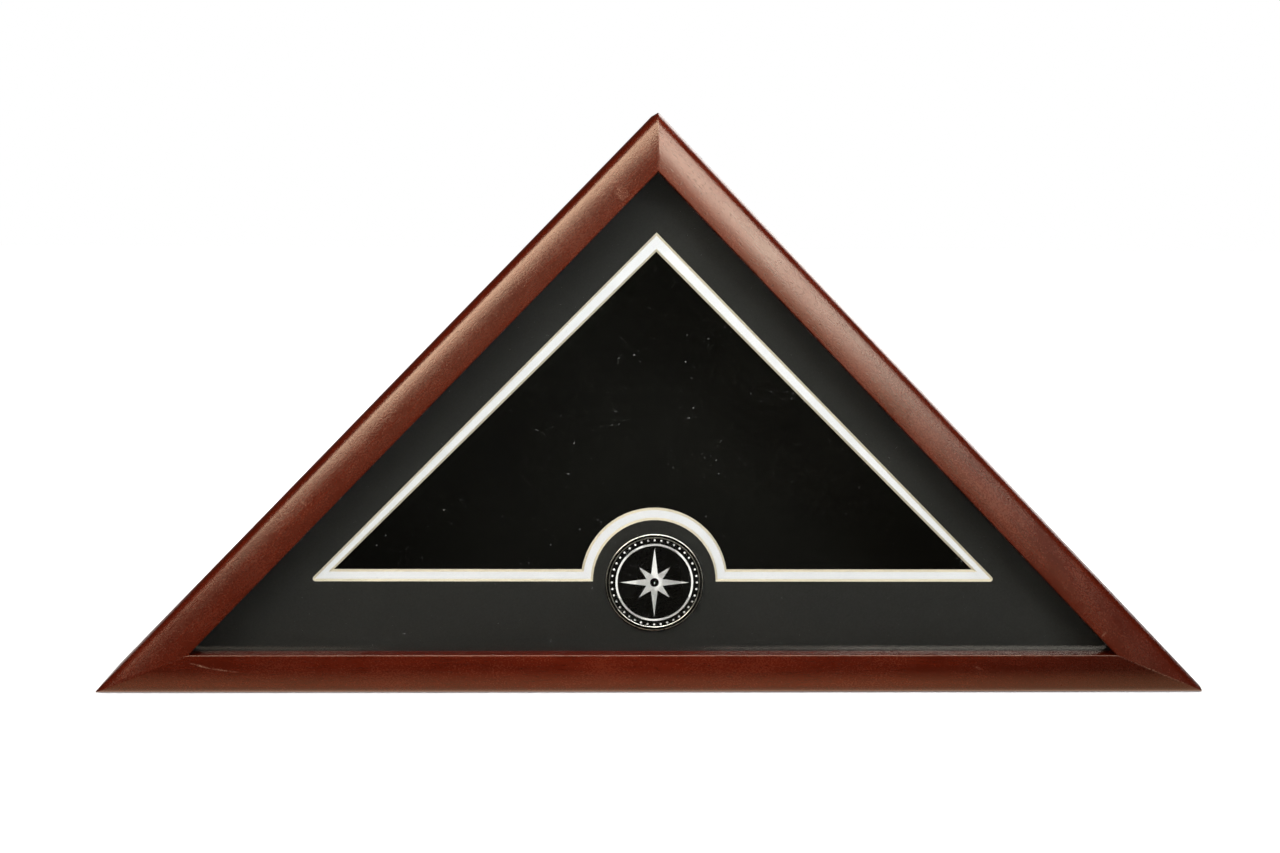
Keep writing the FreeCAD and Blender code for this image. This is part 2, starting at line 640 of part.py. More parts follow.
# ---------------------------------------------------------------- hidden fasteners
nails = new_body("mitre_v_nails")
sk = sketch_on(nails, "XZ_Plane", "nail_outlines")
corners = [(("-1 * dims.case_width / 2", "0"), HALF), (("dims.case_width / 2", "0"), "(180 - dims.base_angle / 2)"), (("0", TALL), "(-90)")]
for (cx, cz), way in corners:
    for out in (("14", "30") if way != "(-90)" else ("8", "16")):
        px = "(%s + %s * cos%s)" % (cx, out, way)
        pz = "(%s + %s * sin%s)" % (cz, out, way)
        pts = []
        for along, across in (("0", "0"), ("dims.nail_leg * 0.7", "dims.nail_leg * 0.7"),
                              ("dims.nail_leg * 0.7 + dims.nail_thick * 1.4", "dims.nail_leg * 0.7"),
                              ("dims.nail_thick * 1.4", "0"),
                              ("dims.nail_leg * 0.7 + dims.nail_thick * 1.4", "-1 * dims.nail_leg * 0.7"),
                              ("dims.nail_leg * 0.7", "-1 * dims.nail_leg * 0.7")):
            pts.append(("%s + (%s) * cos%s - (%s) * sin%s" % (px, along, way, across, way),
                        "%s + (%s) * sin%s + (%s) * cos%s" % (pz, along, way, across, way)))
        loop(sk, pts)
pad(nails, sk, "dims.nail_depth")
nails.setExpression("Placement.Base.y", "dims.rail_back_y")

brads = []
for side in ("left", "right", "bottom"):
    for i, along in enumerate(("-150", "0", "150") if side != "bottom" else ("-210", "0", "210")):
        pin = doc.addObject("Part::Cylinder", "brad_%s_%d" % (side, i))
        pin.setExpression("Radius", "dims.brad_radius")
        pin.setExpression("Height", "dims.brad_length")
        turn = {"left": Rotation(Vector(0, 1, 0), 180 - dim["base_angle"]),
                "right": Rotation(Vector(0, 1, 0), dim["base_angle"] - 180),
                "bottom": Rotation()}[side]
        pin.Placement = Placement(Vector(), turn)
        x, z = on_side(side, along, "dims.strip_edge - dims.brad_length")
        pin.setExpression("Placement.Base.x", x)
        pin.setExpression("Placement.Base.z", z)
        pin.setExpression("Placement.Base.y", "dims.rail_back_y + dims.strip_depth / 2")
        brads.append(pin)
group = doc.addObject("Part::Compound", "mat_strip_brads")
group.Links = brads
group.Label = "mat_strip_brads"
made.append(group)

# ---------------------------------------------------------------- write
doc.recompute()
os.makedirs("parts", exist_ok=True)
for obj in doc.Objects:
    if "Invalid" in obj.State or "Error" in obj.State:
        raise RuntimeError("%s: %s" % (obj.Label, obj.State))
for obj in made:
    if obj.Shape.isNull() or not obj.Shape.isValid() or not obj.Shape.Solids:
        raise RuntimeError("bad shape: " + obj.Label)
    obj.Shape.exportStep(os.path.join("parts", obj.Label + ".step"))
    box = obj.Shape.optimalBoundingBox(False)
    print("%-28s solids %2d vol %10.1f  x %8.2f %8.2f  y %7.2f %7.2f  z %7.2f %7.2f" % (
        obj.Label, len(obj.Shape.Solids), obj.Shape.Volume, box.XMin, box.XMax, box.YMin, box.YMax, box.ZMin, box.ZMax))
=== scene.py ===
import math
import random

import bmesh
import bpy
from mathutils import Matrix, Vector


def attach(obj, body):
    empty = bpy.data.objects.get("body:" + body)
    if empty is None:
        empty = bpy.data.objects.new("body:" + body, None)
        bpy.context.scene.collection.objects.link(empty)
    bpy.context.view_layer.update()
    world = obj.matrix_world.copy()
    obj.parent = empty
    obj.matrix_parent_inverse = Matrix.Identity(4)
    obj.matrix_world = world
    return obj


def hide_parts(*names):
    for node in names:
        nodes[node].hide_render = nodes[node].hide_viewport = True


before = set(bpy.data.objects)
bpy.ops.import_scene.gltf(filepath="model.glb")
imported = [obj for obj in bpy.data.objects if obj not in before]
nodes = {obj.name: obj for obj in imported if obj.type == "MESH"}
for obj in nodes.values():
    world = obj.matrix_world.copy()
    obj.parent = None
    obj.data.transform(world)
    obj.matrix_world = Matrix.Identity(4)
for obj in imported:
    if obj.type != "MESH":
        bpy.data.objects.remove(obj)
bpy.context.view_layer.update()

MM = 0.001
random.seed(7)
scene = bpy.context.scene

# ------------------------------------------------------------------ sizes that the looks share with the frame
WIDTH, BASE = 650.0, math.radians(46.0)
TALL = WIDTH / 2 * math.tan(BASE)
SIDE = WIDTH / 2 / math.cos(BASE)
RAIL_BACK, LAND = -28.744, 47.256
HALF, APEX = BASE / 2, math.pi / 2 - BASE
TURN = {"left": math.radians(134.0), "right": math.radians(-134.0), "bottom": 0.0}
ENDS = {"left": (APEX, HALF), "right": (HALF, APEX), "bottom": (HALF, HALF)}
LONG = {"left": SIDE, "right": SIDE, "bottom": WIDTH}
MIDDLE = {"left": (-WIDTH / 4, TALL / 2), "right": (WIDTH / 4, TALL / 2), "bottom": (0.0, 0.0)}
TIPS = {"left": 0.25, "right": 1.7, "top": 0.3}   # how far each point of the triangle is worn back


# ------------------------------------------------------------------ node helpers
def new_material(name):
    m = bpy.data.materials.new(name)
    m.use_nodes = True
    nt = m.node_tree
    p = next(n for n in nt.nodes if n.type == "BSDF_PRINCIPLED")
    out = next(n for n in nt.nodes if n.type == "OUTPUT_MATERIAL")
    return m, nt, p, out


def add(nt, kind, inputs=None, **props):
    n = nt.nodes.new(kind)
    for k, v in props.items():
        setattr(n, k, v)
    for k, v in (inputs or {}).items():
        if hasattr(v, "is_output"):
            nt.links.new(v, n.inputs[k])
        else:
            n.inputs[k].default_value = v
    return n


def object_coords(nt, rot=0.0, scale=(1, 1, 1), offset=(0, 0, 0)):
    """Coordinates in the frame's metres, turned about Y so that X runs along a stick."""
    tc = add(nt, "ShaderNodeTexCoord")
    turn = add(nt, "ShaderNodeMapping", {"Vector": tc.outputs["Object"], "Rotation": (0, rot, 0), "Location": offset})
    return add(nt, "ShaderNodeMapping", {"Vector": turn.outputs[0], "Scale": scale}).outputs[0]


def noise(nt, vec, scale=1.0, detail=4.0, rough=0.55, distort=0.0):
    return add(nt, "ShaderNodeTexNoise", {"Vector": vec, "Scale": scale, "Detail": detail, "Roughness": rough, "Distortion": distort}).outputs["Fac"]


def ramp(nt, fac, stops):
    r = add(nt, "ShaderNodeValToRGB", {"Fac": fac})
    e = r.color_ramp.elements
    while len(e) < len(stops):
        e.new(0.5)
    for el, (pos, col) in zip(e, stops):
        el.position = pos
        el.color = (*col, 1.0) if len(col) == 3 else col
    return r.outputs["Color"]


def span(nt, value, a, b, c, d):
    return add(nt, "ShaderNodeMapRange", {"Value": value, "From Min": a, "From Max": b, "To Min": c, "To Max": d}).outputs[0]


def math_node(nt, op, a, b=None):
    n = nt.nodes.new("ShaderNodeMath")
    n.operation = op
    for i, v in enumerate((a, b)):
        if v is None:
            continue
        if hasattr(v, "is_output"):
            nt.links.new(v, n.inputs[i])
        else:
            n.inputs[i].default_value = v
    return n.outputs[0]


def mix_colour(nt, fac, a, b, blend="MIX"):
    n = nt.nodes.new("ShaderNodeMix")
    n.data_type = "RGBA"
    n.blend_type = blend
    for name, v in (("Factor", fac), ("A", a), ("B", b)):
        sock = next(s for s in n.inputs if s.name == name and s.enabled)
        if hasattr(v, "is_output"):
            nt.links.new(v, sock)
        else:
            sock.default_value = v if name == "Factor" else (*v, 1.0)
    return next(s for s in n.outputs if s.enabled)


def bump(nt, height, strength, distance, normal=None):
    n = add(nt, "ShaderNodeBump", {"Height": height, "Strength": strength, "Distance": distance})
    if normal is not None:
        nt.links.new(normal, n.inputs["Normal"])
    return n.outputs[0]


# ------------------------------------------------------------------ materials
def lacquered_wood(name, rot, offset, marks=(), stain_and_shade=(1.0, 1.0, 1.0), spec=0.48, dull=0.0, tooth=1.0, lip=None):
    """Red-brown stained hardwood under satin lacquer; the grain runs along the stick. marks are
    small rubbed places: (x, z, lean, half length, half width, strength) in mm and degrees. The
    colour is multiplied by three factors, at the left, in the middle and at the right. On the rails
    this is painted light and shade, lighter or darker where the lamps fall. On the boards it is one
    even factor that lightens the colour. dull and tooth set how far the lacquer was rubbed down.
    From the height lip upwards the stock is planed smooth."""
    m, nt, p, out = new_material(name)
    streak = noise(nt, object_coords(nt, rot, (7.0, 90.0, 90.0), offset), 1.0, 4.0, 0.55, 0.5)
    fine = noise(nt, object_coords(nt, rot, (60.0, 620.0, 620.0), offset), 1.0, 4.0, 0.6)
    pore = noise(nt, object_coords(nt, rot, (330.0, 1900.0, 1900.0), offset), 1.0, 2.0, 0.5)
    cloud = noise(nt, object_coords(nt, rot, (26.0, 40.0, 40.0), offset), 1.0, 4.0, 0.6)
    grit = noise(nt, object_coords(nt, rot, (900.0, 1300.0, 1300.0), offset), 1.0, 2.0, 0.6)
    tone = math_node(nt, "ADD", math_node(nt, "MULTIPLY", streak, 0.30), math_node(nt, "MULTIPLY", fine, 0.25))
    tone = math_node(nt, "ADD", tone, math_node(nt, "MULTIPLY", cloud, 0.28))
    tone = math_node(nt, "ADD", tone, math_node(nt, "MULTIPLY", grit, 0.17))
    colour = ramp(nt, tone, [
        (0.34, (0.0190, 0.0010, 0.0001)),
        (0.46, (0.0285, 0.0017, 0.0001)),
        (0.54, (0.0350, 0.0023, 0.0002)),
        (0.66, (0.0490, 0.0042, 0.0004)),
    ])
    # painted light and shade: the colour is scaled by its left-right position, to stand in for how the lamps fall
    # along each rail
    across = add(nt, "ShaderNodeSeparateXYZ", {0: add(nt, "ShaderNodeTexCoord").outputs["Object"]}).outputs["X"]
    stain_and_shade_level = math_node(nt, "ADD", span(nt, across, -0.30, 0.0, stain_and_shade[0], stain_and_shade[1]), span(nt, across, 0.0, 0.30, 0.0, stain_and_shade[2] - stain_and_shade[1]))
    stain_and_shade_colour = add(nt, "ShaderNodeCombineXYZ", {0: stain_and_shade_level, 1: stain_and_shade_level, 2: stain_and_shade_level}).outputs[0]
    colour = mix_colour(nt, 1.0, colour, stain_and_shade_colour, "MULTIPLY")
    dark = span(nt, pore, 0.58, 0.68, 0.0, 0.45)
    colour = mix_colour(nt, dark, colour, (0.0120, 0.0005, 0.0001))
    for x, z, lean, long, wide, strength in marks:
        tc = add(nt, "ShaderNodeTexCoord")
        a = math.radians(lean)
        shift = add(nt, "ShaderNodeVectorMath", {0: tc.outputs["Object"], 1: (-x * MM, 0, -z * MM)}, operation="ADD")
        turn = add(nt, "ShaderNodeMapping", {"Vector": shift.outputs[0], "Rotation": (0, a, 0)})
        place = add(nt, "ShaderNodeVectorMath", {0: turn.outputs[0], 1: (1000.0 / long, 0, 1000.0 / wide)}, operation="MULTIPLY")
        reach = add(nt, "ShaderNodeVectorMath", {0: place.outputs[0]}, operation="LENGTH").outputs["Value"]
        hair = add(nt, "ShaderNodeTexNoise", {"Vector": turn.outputs[0], "Scale": 380.0 if wide > 2.0 else 900.0, "Detail": 3.0, "Roughness": 0.6, "Distortion": 2.5}).outputs["Fac"]
        fade = add(nt, "ShaderNodeMapRange", {"Value": reach, "From Min": 0.25, "From Max": 1.0, "To Min": 1.0, "To Max": 0.0}, interpolation_type="SMOOTHSTEP").outputs[0]
        if wide > 2.0:
            line = span(nt, math_node(nt, "ABSOLUTE", math_node(nt, "SUBTRACT", hair, 0.5)), 0.0, 0.022, 1.0, 0.0)
            spec = math_node(nt, "SUBTRACT", spec, math_node(nt, "MULTIPLY", fade, 0.30))
        else:
            line = span(nt, hair, 0.46, 0.64, 0.0, 1.0)
        rub = math_node(nt, "MULTIPLY", math_node(nt, "MULTIPLY", fade, line), strength)
        colour = mix_colour(nt, rub, colour, (0.27, 0.165, 0.105))
    nt.links.new(colour, p.inputs["Base Color"])
    gloss = math_node(nt, "ADD", math_node(nt, "MULTIPLY", cloud, 0.45), math_node(nt, "MULTIPLY", grit, 0.55))
    rough, low_tooth, high_tooth = span(nt, gloss, 0.32, 0.68, 0.17 + dull, 0.33 + dull), 0.20 * tooth, 0.42 * tooth
    if lip is not None:
        high = add(nt, "ShaderNodeSeparateXYZ", {0: add(nt, "ShaderNodeTexCoord").outputs["Object"]}).outputs["Z"]
        sawn = span(nt, high, lip, lip + 0.0002, 1.0, 0.0)
        rough = span(nt, sawn, 0.0, 1.0, 0.19, rough)
        low_tooth, high_tooth = span(nt, sawn, 0.0, 1.0, 0.02, low_tooth), span(nt, sawn, 0.0, 1.0, 0.04, high_tooth)
    nt.links.new(rough, p.inputs["Roughness"])
    if hasattr(spec, "is_output"):
        nt.links.new(spec, p.inputs["Specular IOR Level"])
    else:
        p.inputs["Specular IOR Level"].default_value = spec
    p.inputs["Specular Tint"].default_value = (1.0, 0.77, 0.53, 1.0)
    p.inputs["Coat Weight"].default_value = 0.05
    p.inputs["Coat Roughness"].default_value = 0.22
    dent = math_node(nt, "SUBTRACT", math_node(nt, "MULTIPLY", fine, 0.35), math_node(nt, "MULTIPLY", span(nt, pore, 0.56, 0.70, 0.0, 1.0), 0.5))
    low = bump(nt, dent, low_tooth, 0.00022)
    nt.links.new(bump(nt, grit, high_tooth, 0.00020, low), p.inputs["Normal"])
    return m


def raw_wood(name, rot):
    m, nt, p, out = new_material(name)
    streak = noise(nt, object_coords(nt, rot, (8.0, 260.0, 260.0)), 1.0, 5.0, 0.6, 0.8)
    fine = noise(nt, object_coords(nt, rot, (60.0, 1500.0, 1500.0)), 1.0, 3.0)
    tone = math_node(nt, "ADD", math_node(nt, "MULTIPLY", streak, 0.6), math_node(nt, "MULTIPLY", fine, 0.4))
    nt.links.new(ramp(nt, tone, [(0.32, (0.22, 0.12, 0.055)), (0.5, (0.40, 0.26, 0.13)), (0.68, (0.52, 0.37, 0.21))]), p.inputs["Base Color"])
    nt.links.new(span(nt, fine, 0.3, 0.7, 0.6, 0.8), p.inputs["Roughness"])
    nt.links.new(bump(nt, tone, 0.35, 0.0003), p.inputs["Normal"])
    return m


def mat_paper(name, low, high, rough):
    """Mat board's paper face: short fibres and a faint tooth."""
    m, nt, p, out = new_material(name)
    fibre = noise(nt, object_coords(nt, 0.5, (900.0, 2200.0, 2200.0)), 1.0, 3.0, 0.6)
    tooth = noise(nt, object_coords(nt, 0.0, (1500.0, 1500.0, 1500.0)), 1.0, 2.0)
    cloud = noise(nt, object_coords(nt, 0.0, (14.0, 14.0, 14.0)), 1.0, 3.0)
    tone = math_node(nt, "ADD", math_node(nt, "MULTIPLY", fibre, 0.5), math_node(nt, "MULTIPLY", cloud, 0.5))
    nt.links.new(ramp(nt, tone, [(0.36, low), (0.64, high)]), p.inputs["Base Color"])
    nt.links.new(span(nt, tooth, 0.3, 0.7, rough - 0.08, rough + 0.08), p.inputs["Roughness"])
    p.inputs["Specular IOR Level"].default_value = 0.35
    nt.links.new(bump(nt, math_node(nt, "ADD", fibre, tooth), 0.25, 0.00008), p.inputs["Normal"])
    return m


def mat_core(name):
    """The cut bevel of a mat board: pale, slightly warm pressed pulp."""
    m, nt, p, out = new_material(name)
    lay = noise(nt, object_coords(nt, 0.0, (700.0, 6000.0, 700.0)), 1.0, 3.0)
    nt.links.new(ramp(nt, lay, [(0.35, (0.52, 0.46, 0.33)), (0.65, (0.62, 0.57, 0.43))]), p.inputs["Base Color"])
    nt.links.new(span(nt, lay, 0.3, 0.7, 0.75, 0.9), p.inputs["Roughness"])
    nt.links.new(bump(nt, lay, 0.3, 0.0001), p.inputs["Normal"])
    return m


def clear(name, tint, rough, dust=0.0, passed=1.0):
    """Clear glass or resin: mirrors by its angle and shows what is behind it. passed is the share of
    the lamps' light that each face lets through."""
    m, nt, p, out = new_material(name)
    nt.nodes.remove(p)
    ray = nt.nodes.new("ShaderNodeLightPath")
    seen = mix_colour(nt, ray.outputs["Is Shadow Ray"], tint, tuple(c * passed for c in tint))
    see = add(nt, "ShaderNodeBsdfTransparent", {"Color": seen})
    gloss = add(nt, "ShaderNodeBsdfGlossy", {"Color": (1, 1, 1, 1), "Roughness": rough})
    inside = add(nt, "ShaderNodeNewGeometry").outputs["Backfacing"]
    fres = add(nt, "ShaderNodeFresnel", {"IOR": span(nt, inside, 0.0, 1.0, 1.45, 1.0 / 1.45)})
    mix = add(nt, "ShaderNodeMixShader", {0: fres.outputs[0], 1: see.outputs[0], 2: gloss.outputs[0]})
    last = mix.outputs[0]
    if dust:
        grain = noise(nt, object_coords(nt, 0.0, (520.0, 520.0, 520.0)), 1.0, 1.0, 0.5)
        area = noise(nt, object_coords(nt, 0.0, (26.0, 26.0, 26.0)), 1.0, 2.0)
        speck = math_node(nt, "MULTIPLY", span(nt, grain, 0.76, 0.83, 0.0, 1.0), span(nt, area, 0.4, 0.65, 0.2, 1.0))
        lint = add(nt, "ShaderNodeBsdfDiffuse", {"Color": (0.62, 0.62, 0.60, 1.0)})
        last = add(nt, "ShaderNodeMixShader", {0: math_node(nt, "MULTIPLY", speck, dust), 1: last, 2: lint.outputs[0]}).outputs[0]
    nt.links.new(last, out.inputs["Surface"])
    return m


def metal(name, colour, dark, rough, scale=1400.0, soft=0.00018, tooth=0.10):
    m, nt, p, out = new_material(name)
    a = noise(nt, object_coords(nt, 0.3, (scale, scale, scale)), 1.0, 3.0)
    b = noise(nt, object_coords(nt, 0.9, (scale * 0.12, scale * 0.12, scale * 0.12)), 1.0, 4.0, 0.6)
    brush = noise(nt, object_coords(nt, 0.78, (250.0, 5200.0, 5200.0)), 1.0, 2.0)
    tone = math_node(nt, "ADD", math_node(nt, "MULTIPLY", a, 0.4), math_node(nt, "MULTIPLY", b, 0.6))
    nt.links.new(ramp(nt, tone, [(0.34, dark), (0.62, colour)]), p.inputs["Base Color"])
    p.inputs["Metallic"].default_value = 1.0
    nt.links.new(span(nt, math_node(nt, "ADD", math_node(nt, "MULTIPLY", b, 0.6), math_node(nt, "MULTIPLY", brush, 0.4)), 0.3, 0.7, rough - 0.07, rough + 0.09), p.inputs["Roughness"])
    edge = add(nt, "ShaderNodeBevel", {"Radius": soft}, samples=4)
    nt.links.new(bump(nt, math_node(nt, "ADD", a, brush), tooth, 0.00005, edge.outputs[0]), p.inputs["Normal"])
    return m


def rim_with_painted_dark_flat(name, centre, inner, outer):
    """Nickel disc: bright nickel on the rounded edges, and on the flat between them a near-black colour painted as
    the dark reflection of the room.
    """
    m, nt, p, out = new_material(name)
    tc = add(nt, "ShaderNodeTexCoord")
    at = add(nt, "ShaderNodeVectorMath", {0: tc.outputs["Object"], 1: (-centre[0] * MM, 0, -centre[1] * MM)}, operation="ADD")
    flat = add(nt, "ShaderNodeVectorMath", {0: at.outputs[0], 1: (1, 0, 1)}, operation="MULTIPLY")
    r = add(nt, "ShaderNodeVectorMath", {0: flat.outputs[0]}, operation="LENGTH").outputs["Value"]
    off = math_node(nt, "ABSOLUTE", math_node(nt, "SUBTRACT", r, (inner + outer) / 2 * MM))
    edge = add(nt, "ShaderNodeMapRange", {"Value": off, "From Min": ((outer - inner) / 2 - 0.62) * MM, "From Max": ((outer - inner) / 2 - 0.36) * MM}, interpolation_type="SMOOTHSTEP").outputs[0]
    a = noise(nt, object_coords(nt, 0.3, (700.0, 700.0, 700.0)), 1.0, 3.0)
    bright = ramp(nt, a, [(0.35, (0.80, 0.77, 0.68)), (0.65, (0.92, 0.90, 0.82))])
    # painted dark reflection: the flat gets this near-black metal colour in place of the dark room it mirrors; the
    # rounded edges get the bright nickel above
    dull = ramp(nt, a, [(0.35, (0.012, 0.012, 0.011)), (0.65, (0.030, 0.029, 0.026))])
    nt.links.new(mix_colour(nt, edge, dull, bright), p.inputs["Base Color"])
    p.inputs["Metallic"].default_value = 1.0
    nt.links.new(span(nt, a, 0.3, 0.7, 0.26, 0.38), p.inputs["Roughness"])
    nt.links.new(bump(nt, a, 0.03, 0.00005), p.inputs["Normal"])
    return m


def smooth_coat(name, low, high, rough, scale=600.0, spec=0.5, strength=0.08):
    m, nt, p, out = new_material(name)
    a = noise(nt, object_coords(nt, 0.2, (scale, scale, scale)), 1.0, 3.0)
    b = noise(nt, object_coords(nt, 0.7, (scale * 0.1,) * 3), 1.0, 3.0)
    nt.links.new(ramp(nt, math_node(nt, "ADD", math_node(nt, "MULTIPLY", a, 0.4), math_node(nt, "MULTIPLY", b, 0.6)), [(0.35, low), (0.65, high)]), p.inputs["Base Color"])
    nt.links.new(span(nt, b, 0.3, 0.7, rough - 0.05, rough + 0.07), p.inputs["Roughness"])
    p.inputs["Specular IOR Level"].default_value = spec
    nt.links.new(bump(nt, a, strength, 0.00008), p.inputs["Normal"])
    return m


def felt(name):
    m, nt, p, out = new_material(name)
    hair = noise(nt, object_coords(nt, 0.4, (1500.0, 1500.0, 5200.0)), 1.0, 4.0, 0.65, 1.2)
    hair2 = noise(nt, object_coords(nt, 1.3, (5200.0, 1500.0, 1300.0)), 1.0, 4.0, 0.65, 1.2)
    nap = noise(nt, object_coords(nt, 0.0, (16.0, 16.0, 16.0)), 1.0, 4.0, 0.6)
    tone = math_node(nt, "ADD", math_node(nt, "MULTIPLY", math_node(nt, "MAXIMUM", hair, hair2), 0.6), math_node(nt, "MULTIPLY", nap, 0.4))
    nt.links.new(ramp(nt, tone, [(0.38, (0.0023, 0.0024, 0.0017)), (0.66, (0.0070, 0.0072, 0.0053))]), p.inputs["Base Color"])
    nt.links.new(span(nt, nap, 0.3, 0.7, 0.86, 0.97), p.inputs["Roughness"])
    p.inputs["Specular IOR Level"].default_value = 0.10
    p.inputs["Sheen Weight"].default_value = 0.02
    p.inputs["Sheen Roughness"].default_value = 0.5
    nt.links.new(bump(nt, tone, 0.5, 0.0003), p.inputs["Normal"])
    return m


def hardboard(name):
    m, nt, p, out = new_material(name)
    fibre = noise(nt, object_coords(nt, 0.6, (260.0, 260.0, 1100.0)), 1.0, 5.0, 0.68, 1.6)
    fibre2 = noise(nt, object_coords(nt, 2.1, (260.0, 260.0, 1250.0)), 1.0, 5.0, 0.68, 1.6)
    cloud = noise(nt, object_coords(nt, 0.0, (7.0, 7.0, 7.0)), 1.0, 2.0, 0.5)
    fleck = noise(nt, object_coords(nt, 0.3, (480.0, 480.0, 480.0)), 1.0, 2.0, 0.6)
    tone = math_node(nt, "ADD", math_node(nt, "MULTIPLY", math_node(nt, "MAXIMUM", fibre, fibre2), 0.84), math_node(nt, "MULTIPLY", cloud, 0.16))
    colour = ramp(nt, tone, [(0.42, (0.120, 0.058, 0.024)), (0.54, (0.215, 0.120, 0.056)), (0.66, (0.330, 0.205, 0.105))])
    colour = mix_colour(nt, span(nt, fleck, 0.62, 0.72, 0.0, 0.55), colour, (0.070, 0.032, 0.014))
    nt.links.new(colour, p.inputs["Base Color"])
    nt.links.new(span(nt, tone, 0.35, 0.65, 0.42, 0.6), p.inputs["Roughness"])
    nt.links.new(bump(nt, tone, 0.25, 0.00015), p.inputs["Normal"])
    return m


TEX_TURN = {"left": math.radians(226.0), "right": math.radians(134.0), "bottom": 0.0}
MARKS = {
    "left": [(-21.0, 290.5, -46.0, 6.5, 4.6, 0.9), (-203.0, 112.0, -46.0, 4.0, 0.9, 0.35)],
    "right": [(262.0, 36.0, 46.0, 3.0, 0.9, 0.25), (297.0, 11.9, -23.0, 28.0, 0.45, 0.36)],
    "bottom": [(-262.5, 17.2, -16.0, 8.0, 0.7, 0.6), (-249.5, 14.6, -8.0, 10.5, 0.65, 0.45), (188.0, 16.0, -24.0, 4.0, 0.6, 0.30), (297.0, 11.9, -23.0, 28.0, 0.45, 0.36)],
}
# painted light and shade per rail: colour factors at the left, in the middle and at the right, lighter or darker
# where the lamps fall
PAINTED_LIGHT_AND_SHADE = {"left": (0.90, 0.92, 0.88), "right": (1.25, 1.25, 0.82), "bottom": (0.92, 1.42, 0.50)}
WOOD = {s: lacquered_wood("cherry_lacquer_" + s, TEX_TURN[s], off, MARKS[s], PAINTED_LIGHT_AND_SHADE[s], lip=0.0232 if s == "bottom" else None) for s, off in (("left", (0.13, 0.0, 0.0)), ("right", (1.71, 0.02, 0.31)), ("bottom", (3.37, 0.05, 0.57)))}
BOARD_WOOD = {s: lacquered_wood("cherry_board_" + s, TEX_TURN[s], off, stain_and_shade=(1.5, 1.5, 1.5), spec=0.22, dull=0.05, tooth=0.55) for s, off in (("left", (5.2, 0.4, 0.0)), ("right", (6.9, 0.5, 0.3)), ("bottom", (8.1, 0.6, 0.6)))}
STRIP_WOOD = {s: raw_wood("strip_wood_" + s, TEX_TURN[s]) for s in TURN}
MAT_BLACK = mat_paper("mat_black_paper", (0.0084, 0.0088, 0.0066), (0.0132, 0.0137, 0.0108), 0.72)
MAT_WHITE = mat_paper("mat_white_paper", (0.60, 0.61, 0.615), (0.66, 0.67, 0.675), 0.8)
MAT_CORE = mat_core("mat_core_bevel")
GLASS = clear("pane_glass_clear", (0.985, 0.99, 0.985), 0.012, 0.22, 0.56)
DOME = clear("resin_dome_clear", (0.99, 0.99, 0.985), 0.02)
SILVER = rim_with_painted_dark_flat("nickel_rim_painted_dark_flat", (0.0, 63.4), 26.2, 28.5)
ZINC = metal("zinc_plate", (0.70, 0.71, 0.70), (0.50, 0.51, 0.52), 0.40)
BRASS = metal("brass_plate_finish", (0.84, 0.62, 0.30), (0.62, 0.42, 0.17), 0.40)
ENAMEL_BLACK = smooth_coat("enamel_black", (0.0022, 0.0022, 0.0024), (0.0046, 0.0046, 0.0048), 0.16, 900.0)
ENAMEL_WHITE = smooth_coat("enamel_white", (0.84, 0.84, 0.81), (0.90, 0.90, 0.87), 0.30, 1600.0)
SPACER = smooth_coat("spacer_black", (0.009, 0.009, 0.009), (0.016, 0.016, 0.016), 0.55, 700.0)
FOAM = smooth_coat("foam_white", (0.62, 0.62, 0.60), (0.78, 0.78, 0.76), 0.85, 2600.0, 0.2, 0.6)
RUBBER = smooth_coat("bumper_rubber_black", (0.010, 0.010, 0.010), (0.022, 0.022, 0.022), 0.6, 1800.0, 0.35, 0.3)
FELT = felt("felt_black")
BOARD = hardboard("hardboard_brown")


def paint(node, *mats):
    ob = nodes[node]
    ob.data.materials.clear()
    for m in mats:
        ob.data.materials.append(m)
    return ob


# ------------------------------------------------------------------ mitred sticks
def arc(cx, cy, r, a0, a1, n):
    return [(cx + r * math.cos(math.radians(a0 + (a1 - a0) * i / n)), cy + r * math.sin(math.radians(a0 + (a1 - a0) * i / n))) for i in range(n + 1)]


def rail_section():
    """The rail's outline as (u, v): u in from the outer edge, v forward of the rail's back."""
    ra, rb, rc, end, wall = 8.0, 52.0, 0.5, 114.15, 10.548
    bu = ra + (ra - rb) * math.cos(math.radians(end))
    bv = wall + (ra - rb) * math.sin(math.radians(end))
    beta = math.degrees(math.acos((23.5 - rc - bu) / (rb - rc)))
    cv = bv + (rb - rc) * math.sin(math.radians(beta))
    pts = [(0.25, 0.0), (0.0, 0.25), (0.0, 4.0), (0.0, 8.0)]
    pts += arc(ra, wall, ra, 180.0, end, 18)
    pts += arc(bu, bv, rb, end, beta, 44)[1:]
    pts += arc(23.5 - rc, cv, rc, beta, 0.0, 10)[1:]
    pts += [(23.5, 16.0), (23.5, 12.0), (23.5, 8.7), (23.2, 8.4), (17.0, 8.4), (17.0, 0.0)]
    return pts


def board_section():
    pts = [(0.0, -0.25), (0.25, 0.0), (12.9, 0.0), (13.0, -0.1), (13.0, -72.1), (12.7, -72.4), (8.0, -72.4), (8.0, -75.7), (7.7, -76.0)]
    pts += [(0.9 - 0.9 * math.sin(math.radians(a)), -75.1 - 0.9 * math.cos(math.radians(a))) for a in (0, 22.5, 45, 67.5, 90)]
    return pts


def worn(value, limit, by):
    """Rounds the last few millimetres of a sharp point back by a set amount."""
    start, end = limit - 2.2 * by, limit - 0.75 * by
    if value <= start:
        return value
    return start + (end - start) * (1.0 - math.exp(-(value - start) / (end - start)))


